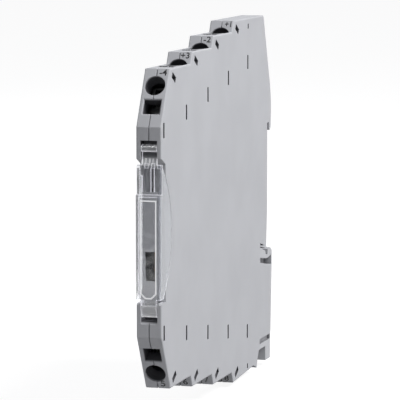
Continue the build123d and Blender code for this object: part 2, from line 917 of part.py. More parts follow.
with BuildPart() as transformer_winding:
    winding_length = inside_length - 2 * fit_gap
    winding_height = inside_height - 2 * fit_gap
    side_block(
        upright(core_depth, 0, winding_length, winding_height), core_x + 0.1, core_top_x - 0.1
    )
    fillet(edges().filter_by(Axis.Y), 0.8)
    leg_hole = upright(core_depth, 0, winding_length + 1, core_leg + 2 * fit_gap)
    side_block(leg_hole, leg_low_x - fit_gap, leg_high_x + fit_gap, Mode.SUBTRACT)
finish(transformer_winding.part, "transformer_winding")


# Chips: a flat body with rows of bent leads above and below
def chip(depth, height, depth_size, height_size, thickness, lead_pitch, lead_count):
    """Adds a chip body and its two rows of leads, standing on the board."""
    foot_x = board_side + touch_gap
    body_x = foot_x + 0.15
    side_block(upright(depth, height, depth_size, height_size), body_x, body_x + thickness)
    bevelled = edges().group_by(Axis.X)[-1]
    chamfer(bevelled, 0.15)
    shoulder_x = body_x + thickness / 2
    for index in range(lead_count):
        lead_depth = depth + (index - (lead_count - 1) / 2) * lead_pitch
        for row in upper_and_lower:
            inner = height + row * (height_size / 2 - 0.1)
            bend = height + row * (height_size / 2 + 0.5)
            toe = height + row * (height_size / 2 + 1.1)
            lead_width = 0.4 * lead_pitch
            shoulder = upright(lead_depth, (inner + bend) / 2, lead_width, abs(bend - inner))
            side_block(shoulder, shoulder_x - 0.08, shoulder_x + 0.08)
            leg = upright(lead_depth, bend, lead_width, 0.16)
            side_block(leg, foot_x, shoulder_x + 0.08)
            foot = upright(lead_depth, (bend + toe) / 2, lead_width, abs(toe - bend))
            side_block(foot, foot_x, foot_x + 0.16)


controller_size = 7.0
controller_gap = 7.5
controller_depth = core_depth - core_length / 2 - controller_gap - controller_size / 2
with BuildPart() as controller_chip:
    chip(controller_depth, 0.0, controller_size, controller_size, 1.2, 0.8, 8)
finish(controller_chip.part, "controller_chip")

coupler_length = 6.0
coupler_height = 5.0
coupler_gap = 4.5
coupler_rise = 6.5
coupler_depth = core_depth + core_length / 2 + coupler_gap + coupler_length / 2
for name, rise in {"coupler_1": coupler_rise, "coupler_2": -coupler_rise}.items():
    with BuildPart() as coupler:
        chip(coupler_depth, rise, coupler_length, coupler_height, 2.0, 1.27, 4)
    finish(coupler.part, name)

# Capacitors: moulded blocks with a bevelled polarity edge and end tabs
capacitor_length = 6.0
capacitor_height = 3.2
capacitor_gap = 4.5
capacitor_rise = 9.0
capacitor_depth = coupler_depth + coupler_length / 2 + capacitor_gap + capacitor_length / 2
end_tab = 0.3
for name, rise in {"capacitor_1": capacitor_rise, "capacitor_2": -capacitor_rise}.items():
    with BuildPart() as capacitor:
        foot_x = board_side + touch_gap
        body = upright(capacitor_depth, rise, capacitor_length, capacitor_height)
        side_block(body, foot_x + 0.1, foot_x + 2.6)
        chamfer(edges().group_by(Axis.X)[-1], 0.2)
        for end in (-1, 1):
            end_depth = capacitor_depth + end * (capacitor_length + end_tab / 3) / 2
            side_block(upright(end_depth, rise, end_tab, capacitor_height - 1.0), foot_x, foot_x + 1.3)
    finish(capacitor.part, name)

# Inductor: a drum with a winding groove between square flanges
inductor_size = 4.8
drum_diameter = 3.8
drum_height = 2.8
flange_thickness = 0.6
with BuildPart() as inductor:
    inductor_place = (capacitor_depth, 0.0)
    drum_low = board_side + touch_gap
    for flange_x in (drum_low, drum_low + drum_height - flange_thickness):
        flange = upright(*inductor_place, inductor_size, inductor_size)
        side_block(flange, flange_x, flange_x + flange_thickness)
        chamfer(edges().group_by(Axis.X)[-1].filter_by(Axis.Y), 0.2)
    side_round(drum_diameter / 2, *inductor_place, drum_low, drum_low + drum_height)
finish(inductor.part, "inductor")
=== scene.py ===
"""Looks of a slim rail-mounted temperature transmitter.

The case, cover, latch, clamps and board come from model.glb and get their finishes here. The ribs and
the printed border of the cover and the terminal numbers are added, and then the stage with its lamps
and camera. Metres. X runs across the slim width, Y from the front to the rail, Z up.
"""

from math import copysign, cos, pi, radians, sin

import bmesh
import bpy
from bpy.props import FloatProperty, PointerProperty, StringProperty
from mathutils import Euler, Matrix, Vector


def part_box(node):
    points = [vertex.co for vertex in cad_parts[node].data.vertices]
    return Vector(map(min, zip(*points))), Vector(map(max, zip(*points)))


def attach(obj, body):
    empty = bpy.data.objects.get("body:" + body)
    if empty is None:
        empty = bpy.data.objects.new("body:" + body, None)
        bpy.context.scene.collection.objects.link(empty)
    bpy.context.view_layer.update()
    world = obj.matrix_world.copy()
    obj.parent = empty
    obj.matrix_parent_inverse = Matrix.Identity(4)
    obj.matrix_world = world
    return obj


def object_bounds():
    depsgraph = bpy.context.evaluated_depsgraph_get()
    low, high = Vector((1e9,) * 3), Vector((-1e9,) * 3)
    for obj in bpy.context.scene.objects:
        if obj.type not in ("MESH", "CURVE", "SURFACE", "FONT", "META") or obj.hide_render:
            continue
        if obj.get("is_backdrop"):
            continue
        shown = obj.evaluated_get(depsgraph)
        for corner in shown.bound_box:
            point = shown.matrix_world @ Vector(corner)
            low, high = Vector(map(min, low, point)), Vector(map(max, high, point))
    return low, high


bl_info = {
    "name": "Temperature Transmitter Finishes",
    "version": (1, 0, 0),
    "blender": (4, 5, 0),
    "location": "3D View > Sidebar > Transmitter",
    "description": "Finishes, cover ribs, print and stage of a rail-mounted module",
    "category": "Object",
}

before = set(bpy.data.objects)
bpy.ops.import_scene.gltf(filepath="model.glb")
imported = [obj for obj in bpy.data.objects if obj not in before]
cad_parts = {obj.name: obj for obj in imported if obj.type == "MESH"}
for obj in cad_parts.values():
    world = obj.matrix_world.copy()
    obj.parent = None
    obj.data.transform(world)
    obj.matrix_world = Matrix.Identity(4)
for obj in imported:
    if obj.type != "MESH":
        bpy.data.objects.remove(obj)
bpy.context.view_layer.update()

MM = 0.001
MATH = "ShaderNodeMath"
VECTOR_MATH = "ShaderNodeVectorMath"

# The stepped terminal faces, in millimetres, with depths from the front and heights from the middle
HALF_WIDTH = 3.1
SEAT_DEPTH = 97.0
LEVELS = range(4)
FACE_SETBACK = 7.25
FIRST_LEVEL = 38.09
LEVEL_PITCH = 18.76
LEVEL_RISE = 2.82
FACE_LEAN = radians(28.7)
UPPER_NUMBERS = ("-4", "+3", "-2", "+1")
LOWER_NUMBERS = ("5", "6", "7", "8")
ONE_SHARE = 0.5

# The recess behind the cover, the round recess of its wings, and where the closed case ends
RECESS_DEPTH = 3.4
RECESS_HALF_HEIGHT = 17.5
WING_RADIUS = 21.2
WING_CENTRE = (-12.0, -0.5)
WING_RECESS_SIDE = 2.4
LAST_HOLLOW_DEPTH = 84.0

# The painted shade of the hollows: how far under the skin it starts and is full, and the skin of the side
# walls
DARK_START = 0.1
DARK_FULL = 0.7
SIDE_SKIN = 0.05

# Hollows that light half reaches: heights either side of the middle, depth of the floor and darkness
HALF_LIT = ((9.2, 17.5, 4.1, 0.0), (17.5, 20.3, 9.0, 0.7))

# Painted shade in the narrow gaps round the latch: how far a wall may be from the one across it, how dark
# the painted shade makes its colour, the open share where that starts and is full, and the place behind and
# under which gaps count
GAP_REACH = 2.5
GAP_DARKNESS = 0.8
GAP_START = 0.75
GAP_FULL = 0.25
GAPS_BEHIND = -90.0
GAPS_UNDER = -10.0

# The clear cover: where its clear front ends and its wings start on each side, and how rough they are
FRONT_SIDE = 2.0
WING_SIDE = 2.3
POLISHED = 0.05
SATIN = 0.22

# The head of the cover with its flutes and faint waves, the arm below and the tongue above with its lip.
# The bands of a wave texture turn through 20 radians in each unit.
HEAD_LOW = 15.7
ARM_TOP = -17.3
TONGUE_LOW = 17.5
LIP_LOW = 19.0
LIP_GLOW_TOP = 19.4
FLUTE_PITCH = 1.75
FLUTE_DEPTH = 0.09
BAND_RADIANS = 20
WAVE_SIZE = 1.6
WAVE_DEPTH = 0.05

# Painted glow on the edges of the cover: their width, the turn of the surface where the glow starts and is
# full, as a cosine, how far back they go, their share of the lip's glow, and the paleness of the left wing
EDGE_REACH = 0.3
EDGE_START = 0.99
EDGE_FULL = 0.85
EDGES_BEFORE = -94.5
EDGE_SHARE = 2.0
EDGE_GLOW_COLOUR = "#F0EFF8"
LEFT_SHARE = 0.3

# The printed border on the front of the cover, with its two lower corners cut off
BORDER_LEFT = -1.95
BORDER_RIGHT = 2.0
BORDER_LOW = -15.6
BORDER_HIGH = 7.72
BORDER_CORNER = 1.2

# Moulded ribs and grip teeth of the cover: middle, width, low, high, root and how far they stand out
HEAD_FRONT = -96.55
WINDOW_BACK = -96.75
RIBS = (
    (-1.72, 0.14, 9.6, 13.4, HEAD_FRONT, 0.12),
    (-1.9, 0.46, 13.3, 13.5, HEAD_FRONT, 0.12),
    (0.4, 0.12, 9.6, 15.2, HEAD_FRONT, 0.1),
    (1.22, 0.14, 9.6, 15.2, HEAD_FRONT, 0.12),
    (-0.62, 0.95, 15.2, 16.4, HEAD_FRONT, 0.25),
    (0.98, 0.85, 15.2, 16.4, HEAD_FRONT, 0.25),
    (2.45, 0.75, 15.1, 15.95, HEAD_FRONT, 0.25),
    (2.72, 0.2, 3.1, 6.4, WINDOW_BACK, -0.3),
)
RIB_ROOT = 0.1
RIB_BEVEL = 0.03

# The studio floor: metres across, millimetres under the case so that the open latch clears it, and the
# grey and the glow that together are white paper
FLOOR_SIZE = 12.0
FLOOR_DROP = 1.3
PAPER_GREY = "#8A8A8A"
PAPER_GLOW = 0.88

# The camera's side of the studio is dim in a gloss: how dim, and the places on the floor, in metres, and
# the directions of the world between which that fades
FRONT_DIM = 0.07
FLOOR_FADE = (-0.43, -0.35)
WORLD_FADE = (-0.9, -0.3)

# The camera, and lamps a fixed distance from the case, of which the last only glint on the cover
CAMERA_PLACE = (0.19114, -0.71558, 0.08292)
PHOTO_WIDTH = 400
SENSOR_WIDTH = 36.0
LAMP_DISTANCE = 0.9
LAMP_SIZE = 0.5
KEY_DIRECTION = (0.635, -0.087, 0.768)
FILL_DIRECTION = (-0.85, 0.5, 0.12)
GLINTS = {
    "top_glint": ((-0.29, -0.45, 0.84), 1.5, 0.6),
    "head_glint": ((-0.29, -0.82, 0.49), 0.2, 0.35),
    "left_glint": ((-0.95, 0.27, -0.1), 0.15, 0.35),
    "right_glint": ((0.96, -0.2, -0.1), 0.4, 0.35),
}


def hex_colour(text):
    """Linear colour with full opacity from an sRGB hex value such as #C0C0C0."""
    channels = [int(text[place:place + 2], 16) / 255 for place in (1, 3, 5)]
    linear = [c / 12.92 if c <= 0.04045 else ((c + 0.055) / 1.055) ** 2.4 for c in channels]
    return (*linear, 1.0)


def add_node(tree, kind, inputs=(), **settings):
    """Adds a node, sets its properties and fills its inputs, by name or in order, with values or links."""
    made = tree.nodes.new(kind)
    for name, value in settings.items():
        setattr(made, name, value)
    pairs = inputs.items() if isinstance(inputs, dict) else enumerate(inputs)
    for name, value in pairs:
        if isinstance(value, bpy.types.Node):
            value = value.outputs[0]
        if isinstance(value, bpy.types.NodeSocket):
            tree.links.new(value, made.inputs[name])
        else:
            made.inputs[name].default_value = value
    return made


def new_material(name):
    """An empty node material and its output node."""
    material = bpy.data.materials.new(name)
    material.use_nodes = True
    material.node_tree.nodes.clear()
    return material, add_node(material.node_tree, "ShaderNodeOutputMaterial")


def surface_noise(tree, size, detail=2.0):
    """Noise on the object's own coordinates, with grains of about this size in metres."""
    place = add_node(tree, "ShaderNodeTexCoord")
    inputs = {"Vector": place.outputs["Object"], "Scale": 1 / size, "Detail": detail}
    return add_node(tree, "ShaderNodeTexNoise", inputs).outputs["Fac"]


def two_tones(tree, factor, first, second):
    """Colour that runs between two hex colours along a factor from 0.35 to 0.65."""
    ramp = add_node(tree, "ShaderNodeValToRGB", {"Fac": factor})
    ramp.color_ramp.elements[0].position = 0.35
    ramp.color_ramp.elements[0].color = hex_colour(first)
    ramp.color_ramp.elements[1].position = 0.65
    ramp.color_ramp.elements[1].color = hex_colour(second)
    return ramp.outputs["Color"]


def level_height(level):
    """Height of the upper edge of a terminal face, in millimetres."""
    return FIRST_LEVEL + level * LEVEL_RISE


def level_depth(level):
    """Depth of the upper edge of a terminal face behind the front, in millimetres."""
    return FACE_SETBACK + level * LEVEL_PITCH


def depth_under_skin(tree, point):
    """Distance of a point inside the stepped outline of the case, seen from the side, in metres."""
    into_face = (0, -cos(FACE_LEAN), -sin(FACE_LEAN))
    into_land = (0, 0, -1)
    into_front = (0, -1, 0)
    outwards = (0, 0, 1)
    notches = [
        [(into_front, SEAT_DEPTH)],
        [(into_front, SEAT_DEPTH - RECESS_DEPTH), (outwards, -RECESS_HALF_HEIGHT)],
        [(into_land, level_height(LEVELS[-1]))],
    ]
    for level in LEVELS:
        to_rail = SEAT_DEPTH - level_depth(level)
        offset = to_rail * cos(FACE_LEAN) + level_height(level) * sin(FACE_LEAN)
        notch = [(into_face, offset)]
        if level > 0:
            notch.append((into_land, level_height(level - 1)))
        notches.append(notch)
    nearest = None
    for notch in notches:
        furthest = None
        for normal, offset in notch:
            along = add_node(
                tree, VECTOR_MATH, (point, normal), operation="DOT_PRODUCT"
            ).outputs["Value"]
            reach = add_node(tree, MATH, (along, offset * MM), operation="ADD")
            furthest = add_node(tree, MATH, (furthest, reach), operation="MAXIMUM") if furthest else reach
        nearest = add_node(tree, MATH, (nearest, furthest), operation="MINIMUM") if nearest else furthest
    return nearest


def in_the_dark(tree):
    """1 on the walls of the wire entries, slots and windows, which no light reaches, and 0 outside."""
    place = add_node(tree, "ShaderNodeTexCoord").outputs["Object"]
    point = add_node(tree, VECTOR_MATH, (place,), operation="ABSOLUTE").outputs["Vector"]
    axes = add_node(tree, "ShaderNodeSeparateXYZ", {"Vector": point})
    depth = depth_under_skin(tree, point)
    fading = {"Value": depth, "From Min": DARK_START * MM, "From Max": DARK_FULL * MM}
    mask = add_node(tree, "ShaderNodeMapRange", fading)
    wing_axis = (0, (WING_CENTRE[0] - SEAT_DEPTH) * MM, WING_CENTRE[1] * MM)
    off_axis = add_node(tree, VECTOR_MATH, (place, wing_axis), operation="SUBTRACT")
    flat = add_node(tree, VECTOR_MATH, (off_axis, (0, 1, 1)), operation="MULTIPLY")
    radius = add_node(tree, VECTOR_MATH, (flat,), operation="LENGTH").outputs["Value"]
    tests = [
        (axes.outputs["X"], "LESS_THAN", (HALF_WIDTH - SIDE_SKIN) * MM),
        (axes.outputs["Y"], "GREATER_THAN", (SEAT_DEPTH - LAST_HOLLOW_DEPTH) * MM),
    ]
    for value, operation, limit in tests:
        inside = add_node(tree, MATH, (value, limit), operation=operation)
        mask = add_node(tree, MATH, (mask, inside), operation="MULTIPLY")
    beside = add_node(tree, MATH, (axes.outputs["X"], WING_RECESS_SIDE * MM), operation="LESS_THAN")
    behind = add_node(tree, MATH, (radius, WING_RADIUS * MM), operation="GREATER_THAN")
    off_wing = add_node(tree, MATH, (beside, behind), operation="MAXIMUM")
    mask = add_node(tree, MATH, (mask, off_wing), operation="MULTIPLY")
    for low, high, floor_depth, darkness in HALF_LIT:
        below = add_node(tree, MATH, (axes.outputs["Z"], low * MM), operation="LESS_THAN")
        above = add_node(tree, MATH, (axes.outputs["Z"], high * MM), operation="GREATER_THAN")
        floor_place = (SEAT_DEPTH - floor_depth) * MM
        deeper = add_node(tree, MATH, (axes.outputs["Y"], floor_place), operation="LESS_THAN")
        clear = add_node(tree, MATH, (below, above), operation="MAXIMUM")
        outside = add_node(tree, MATH, (clear, deeper), operation="MAXIMUM")
        share = add_node(tree, MATH, (outside, darkness), operation="MAXIMUM")
        mask = add_node(tree, MATH, (mask, share), operation="MULTIPLY")
    return mask


def in_a_gap(tree):
    """Near 1 inside the narrow gaps round the latch, which gather no light, and 0 on open surfaces."""
    open_share = add_node(tree, "ShaderNodeAmbientOcclusion", {"Distance": GAP_REACH * MM}, samples=8)
    fading = {
        "Value": open_share.outputs["AO"],
        "From Min": GAP_START,
        "From Max": GAP_FULL,
        "To Max": GAP_DARKNESS,
    }
    tight = add_node(tree, "ShaderNodeMapRange", fading)
    place = add_node(tree, "ShaderNodeTexCoord").outputs["Object"]
    axes = add_node(tree, "ShaderNodeSeparateXYZ", {"Vector": place})
    behind = add_node(tree, MATH, (axes.outputs["Y"], GAPS_BEHIND * MM), operation="GREATER_THAN")
    under = add_node(tree, MATH, (axes.outputs["Z"], GAPS_UNDER * MM), operation="LESS_THAN")
    near_latch = add_node(tree, MATH, (behind, under), operation="MULTIPLY")
    return add_node(tree, MATH, (tight, near_latch), operation="MULTIPLY")


def paint_shade(tree, colour, mask, dark):
    """Painted shade: colour that goes to a dark hex colour where the mask is 1."""
    inputs = {"Factor": mask, "A": colour, "B": hex_colour(dark)}
    return add_node(tree, "ShaderNodeMix", inputs, data_type="RGBA").outputs["Result"]


def finish_with(name, first, second, tone, grain, depth, edge=0.0, dark=None, **surface):
    """A solid finish of two close tones in patches, with a fine grain of some depth, all in metres.

    Where asked, small edges look rounded, and the hollows and narrow gaps of the case go dark with painted
    shade. What is left are the shader's own inputs, with underscores for spaces.
    """
    material, output = new_material(name)
    tree = material.node_tree
    colour = two_tones(tree, surface_noise(tree, tone), first, second)
    # Painted shade darkens the hollows of the case and the narrow gaps round the latch
    if dark:
        mask = add_node(tree, MATH, (in_the_dark(tree), in_a_gap(tree)), operation="MAXIMUM")
        colour = paint_shade(tree, colour, mask, dark)
    inputs = {"Base Color": colour}
    bump = {"Height": surface_noise(tree, grain), "Distance": depth, "Strength": 1.0}
    if edge:
        rounded = add_node(tree, "ShaderNodeBevel", {"Radius": edge}, samples=6)
        bump["Normal"] = rounded.outputs["Normal"]
    inputs["Normal"] = add_node(tree, "ShaderNodeBump", bump).outputs["Normal"]
    inputs.update({socket.replace("_", " "): value for socket, value in surface.items()})
    shader = add_node(tree, "ShaderNodeBsdfPrincipled", inputs)
    tree.links.new(shader.outputs["BSDF"], output.inputs["Surface"])
    return material


def give(material, *nodes):
    """Puts a material on CAD nodes, in the slots of their objects."""
    for name in nodes:
        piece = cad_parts[name]
        if not piece.material_slots:
            piece.data.materials.append(None)
        for slot in piece.material_slots:
            slot.link = "OBJECT"
            slot.material = material


def nodes_named(stem):
    """The CAD nodes whose names start with a stem, in order."""
    return sorted(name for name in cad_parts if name.startswith(stem))


def deselect_all():
    """Leaves nothing selected, so that the next operator acts on the new piece alone."""
    if bpy.context.object and bpy.context.object.mode == "EDIT":
        bpy.ops.object.mode_set(mode="OBJECT")
    bpy.ops.object.select_all(action="DESELECT")


def select_where(piece, test):
    """Selects, in edit mode, the vertices whose place passes a test."""
    mesh = bmesh.from_edit_mesh(piece.data)
    for vertex in mesh.verts:
        vertex.select_set(test(vertex.co))
    mesh.select_flush(True)
    bmesh.update_edit_mesh(piece.data)


def join_pieces(pieces):
    """Joins pieces into the first of them, which is left active."""
    deselect_all()
    for piece in pieces:
        piece.select_set(True)
    bpy.context.view_layer.objects.active = pieces[0]
    bpy.ops.object.join()


def name_piece(name, material, body):
    """Names the active object, gives it its finish and slot, and lets it ride on a body."""
    piece = bpy.context.object
    piece.name = name
    piece.data.name = name
    piece.data.materials.clear()
    piece.data.materials.append(material)
    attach(piece, body)
    return piece


def move_mesh(piece, matrix):
    """Places a piece in its mesh, so that its object stays at the origin."""
    piece.data.transform(matrix)
    piece.data.update()


# Sizes and colours that a user would change
LENGTH = {"unit": "LENGTH", "precision": 5, "min": 0.001 * MM}
SHARE = {"subtype": "FACTOR", "min": 0.0, "max": 1.0}


class CaseFinish(bpy.types.PropertyGroup):
    """Finish of the moulded case and latch."""

    tone: StringProperty(name="Tone", description="Colour of the moulded case", default="#C7C8CC")
    shade: StringProperty(name="Shade", description="Second, close tone of the case", default="#C3C4C8")
    # Painted shade: the dark colour that the hollows and gaps of the case go to
    dark: StringProperty(name="Dark", description="Colour deep inside the entries", default="#5A5A5E")
    latch_tone: StringProperty(name="Latch", description="Colour of the foot latch", default="#C3C4C8")
    grain: FloatProperty(name="Grain", description="Grain of the mould", default=0.35 * MM, **LENGTH)
    depth: FloatProperty(name="Depth", description="Depth of the grain", default=0.006 * MM, **LENGTH)
    edge: FloatProperty(name="Edge", description="Radius of small edges", default=0.12 * MM, **LENGTH)


class CoverFinish(bpy.types.PropertyGroup):
    """Finish of the clear cover and its printed border."""

    tint: StringProperty(name="Tint", description="Colour of the clear cover", default="#F5F6F8")
    # Painted shade: darker tint of the right wing
    right_wing_shade: StringProperty(name="Wings", description="Colour of its side wings", default="#C1C4CA")
    paleness: FloatProperty(name="Pale", description="Pale scatter in thick parts", default=0.3, **SHARE)
    # Painted glow out of the lip and the edges of the cover
    edge_glow: FloatProperty(name="Edge", description="Light out of the lip's edge", default=0.24, **SHARE)
    line: FloatProperty(name="Line", description="Width of the border's line", default=0.3 * MM, **LENGTH)
    ink_height: FloatProperty(name="Ink", description="Thickness of print", default=0.02 * MM, **LENGTH)
    # Painted glow of the printed border
    ink_glow: FloatProperty(name="Light", description="Light through the border", default=0.42, **SHARE)


class NumberPrint(bpy.types.PropertyGroup):
    """Printed terminal numbers."""

    ink: StringProperty(name="Ink", description="Colour of the numbers", default="#1C1C1F")
    height: FloatProperty(name="Height", description="Height of a digit", default=1.6 * MM, **LENGTH)
    low_height: FloatProperty(name="Low height", description="On lower faces", default=1.75 * MM, **LENGTH)
    digit: FloatProperty(name="Digit", description="Width of a digit", default=1.15 * MM, **LENGTH)
    plus: FloatProperty(name="Plus", description="Width of a plus and space", default=1.04 * MM, **LENGTH)
    minus: FloatProperty(name="Minus", description="Width of a minus and space", default=0.68 * MM, **LENGTH)
    weight: FloatProperty(name="Weight", description="Added thickness of a stroke", default=0.014, **SHARE)
    gap: FloatProperty(name="Gap", description="Distance from the face's edge", default=0.16 * MM, **LENGTH)
    low_gap: FloatProperty(name="Low gap", description="On lower faces", default=0.55 * MM, **LENGTH)
    side: FloatProperty(name="Side", description="Place of the right end", default=2.5 * MM, **LENGTH)
    low_side: FloatProperty(name="Low side", description="On lower faces", default=2.0 * MM, **LENGTH)


class StageSettings(bpy.types.PropertyGroup):
    """Lamps, world and camera."""

    key: FloatProperty(name="Key", description="Light of the key lamp", default=0.975, **SHARE)
    fill: FloatProperty(name="Fill", description="Light of the fill lamp", default=0.42, **SHARE)
    glint: FloatProperty(name="Glint", description="Glints on the cover", default=1.0, **SHARE)
    around: FloatProperty(name="Around", description="Light from all around", default=0.285, **SHARE)
    sky: StringProperty(name="Sky", description="Colour of the light from all around", default="#FAFBFF")
    floor: FloatProperty(name="Floor", description="Light from the floor", default=0.375, **SHARE)
    focal: FloatProperty(name="Focal", description="Focal length", default=2787.0, subtype="PIXEL")
    yaw: FloatProperty(name="Yaw", description="Turn to the left", default=radians(16.11), subtype="ANGLE")
    pitch: FloatProperty(name="Pitch", description="Tilt down", default=radians(6.62), subtype="ANGLE")


# Moulded and printed finishes
class TRANSMITTER_OT_case(bpy.types.Operator):
    """Finishes the two case shells and the foot latch"""

    bl_idname = "transmitter.case"
    bl_label = "Case and latch"

    def execute(self, context):
        look = context.scene.transmitter_case
        # Glass-filled polyamide from a spark-eroded mould: matt, with a fine even grain. The real one is
        # near 0.05 mm, and it is drawn coarser so that it shows.
        case = finish_with(
            "eroded polyamide",
            look.tone,
            look.shade,
            tone=14.0 * MM,
            grain=look.grain,
            depth=look.depth,
            edge=look.edge,
            # Painted shade in the hollows and gaps
            dark=look.dark,
            Roughness=0.8,
            IOR=1.53,
            Specular_IOR_Level=0.15,
        )
        give(case, "housing_shell_left", "housing_shell_right")
        # The same polyamide for the latch, moulded a touch smoother for its slide
        latch = finish_with(
            "sliding polyamide",
            look.latch_tone,
            look.shade,
            tone=6.0 * MM,
            grain=look.grain,
            depth=look.depth / 2,
            edge=look.edge,
            # Painted shade in the hollows and gaps
            dark=look.dark,
            Roughness=0.55,
            IOR=1.53,
            Specular_IOR_Level=0.35,
        )
        give(latch, "foot_latch")
        return {"FINISHED"}


class TRANSMITTER_OT_cover(bpy.types.Operator):
    """Finishes the clear hinged cover"""

    bl_idname = "transmitter.cover"
    bl_label = "Clear cover"

    def execute(self, context):
        look = context.scene.transmitter_cover
        # Polished clear polycarbonate: see-through, with a painted glow on its edges and faint waves
        material, output = new_material("clear polycarbonate")
        tree = material.node_tree
        place = add_node(tree, "ShaderNodeTexCoord").outputs["Object"]
        axes = add_node(tree, "ShaderNodeSeparateXYZ", {"Vector": place})
        across = axes.outputs["X"]
        # The bevelled head above the window has shallow flutes side by side, which break its gloss
        flute = {"Vector": place, "Scale": 2 * pi / (BAND_RADIANS * FLUTE_PITCH * MM)}
        flutes = add_node(tree, "ShaderNodeTexWave", flute, bands_direction="X").outputs["Fac"]
        head = add_node(tree, MATH, (axes.outputs["Z"], HEAD_LOW * MM), operation="GREATER_THAN")
        flute_depth = add_node(tree, MATH, (head, FLUTE_DEPTH), operation="MULTIPLY")
        fluted = add_node(tree, MATH, (flutes, flute_depth), operation="MULTIPLY")
        under_lip = add_node(tree, MATH, (axes.outputs["Z"], LIP_LOW * MM), operation="LESS_THAN")
        swell = add_node(tree, MATH, (under_lip, WAVE_DEPTH), operation="MULTIPLY")
        noise = surface_noise(tree, WAVE_SIZE * MM, 0.0)
        waves = add_node(tree, MATH, (noise, swell), operation="MULTIPLY")
        heights = add_node(tree, MATH, (waves, fluted), operation="ADD")
        bump = add_node(tree, "ShaderNodeBump", {"Height": heights, "Distance": MM})
        # The front is polished and the side wings are satin from the mould
        from_middle = add_node(tree, MATH, (across, -1.0), operation="MULTIPLY")
        side = add_node(tree, MATH, (across, from_middle), operation="MAXIMUM")
        fading = {"Value": side, "From Min": FRONT_SIDE * MM, "From Max": WING_SIDE * MM}
        beside = add_node(tree, "ShaderNodeMapRange", fading).outputs["Result"]
        polish = add_node(
            tree, "ShaderNodeMapRange", {"Value": beside, "To Min": POLISHED, "To Max": SATIN}
        )
        # The head, the tongue and the hinge arm are thick and full of inner reflections, so they are paler
        arm = add_node(tree, MATH, (axes.outputs["Z"], ARM_TOP * MM), operation="LESS_THAN")
        ends = add_node(tree, MATH, (head, arm), operation="MAXIMUM")
        right = add_node(tree, "ShaderNodeMapRange", {**fading, "Value": across}).outputs["Result"]
        left = add_node(tree, MATH, (beside, LEFT_SHARE), operation="MULTIPLY")
        wings = add_node(tree, MATH, (right, left), operation="MAXIMUM")
        thick = add_node(tree, MATH, (ends, wings), operation="MAXIMUM")
        # The tongue is thin and clear between the head and its lip
        over_head = add_node(tree, MATH, (axes.outputs["Z"], TONGUE_LOW * MM), operation="GREATER_THAN")
        thin = add_node(tree, MATH, (over_head, under_lip), operation="MULTIPLY")
        thicker = add_node(tree, MATH, (thick, thin), operation="SUBTRACT", use_clamp=True)
        paler = add_node(tree, MATH, (thicker, look.paleness), operation="MULTIPLY")
        # Painted glow on the edges near the front and on a band at the tongue's lip, standing for light that
        # runs inside the sheet
        above = add_node(tree, MATH, (axes.outputs["Z"], LIP_LOW * MM), operation="GREATER_THAN")
        under = add_node(tree, MATH, (axes.outputs["Z"], LIP_GLOW_TOP * MM), operation="LESS_THAN")
        lip = add_node(tree, MATH, (above, under), operation="MULTIPLY")
        rounded = add_node(tree, "ShaderNodeBevel", {"Radius": EDGE_REACH * MM}, samples=8)
        facing = add_node(tree, "ShaderNodeNewGeometry").outputs["Normal"]
        alike = add_node(tree, VECTOR_MATH, (rounded, facing), operation="DOT_PRODUCT").outputs["Value"]
        turned = add_node(tree, MATH, (alike,), operation="ABSOLUTE")
        turning = {"Value": turned, "From Min": EDGE_START, "From Max": EDGE_FULL}
        sharp = add_node(tree, "ShaderNodeMapRange", turning)
        forward = add_node(tree, MATH, (axes.outputs["Y"], EDGES_BEFORE * MM), operation="LESS_THAN")
        edges = add_node(tree, MATH, (sharp, forward), operation="MULTIPLY")
        edges = add_node(tree, MATH, (edges, EDGE_SHARE), operation="MULTIPLY")
        edge = add_node(tree, MATH, (edges, lip), operation="MAXIMUM")
        clearness = add_node(tree, MATH, (1.0, paler), operation="SUBTRACT")
        inputs = {
            # Painted shade: the right wing gets a darker tint than the rest of the clear cover
            "Base Color": two_tones(tree, right, look.tint, look.right_wing_shade),
            "Roughness": polish.outputs["Result"],
            "IOR": 1.585,
            "Specular IOR Level": 0.8,
            "Transmission Weight": clearness,
            # Painted glow of the edges and the lip
            "Emission Color": hex_colour(EDGE_GLOW_COLOUR),
            "Emission Strength": add_node(tree, MATH, (edge, look.edge_glow), operation="MULTIPLY"),
            "Normal": bump.outputs["Normal"],
        }
        shader = add_node(tree, "ShaderNodeBsdfPrincipled", inputs)
        # Light passes straight through the thin sheet on its way to and from what lies behind
        path = add_node(tree, "ShaderNodeLightPath")
        rays = (path.outputs["Is Shadow Ray"], path.outputs["Is Diffuse Ray"])
        passing = add_node(tree, MATH, rays, operation="MAXIMUM")
        straight = add_node(tree, "ShaderNodeBsdfTransparent")
        mixed = add_node(tree, "ShaderNodeMixShader", (passing, shader, straight))
        tree.links.new(mixed.outputs[0], output.inputs["Surface"])
        give(material, "front_cover")
        return {"FINISHED"}


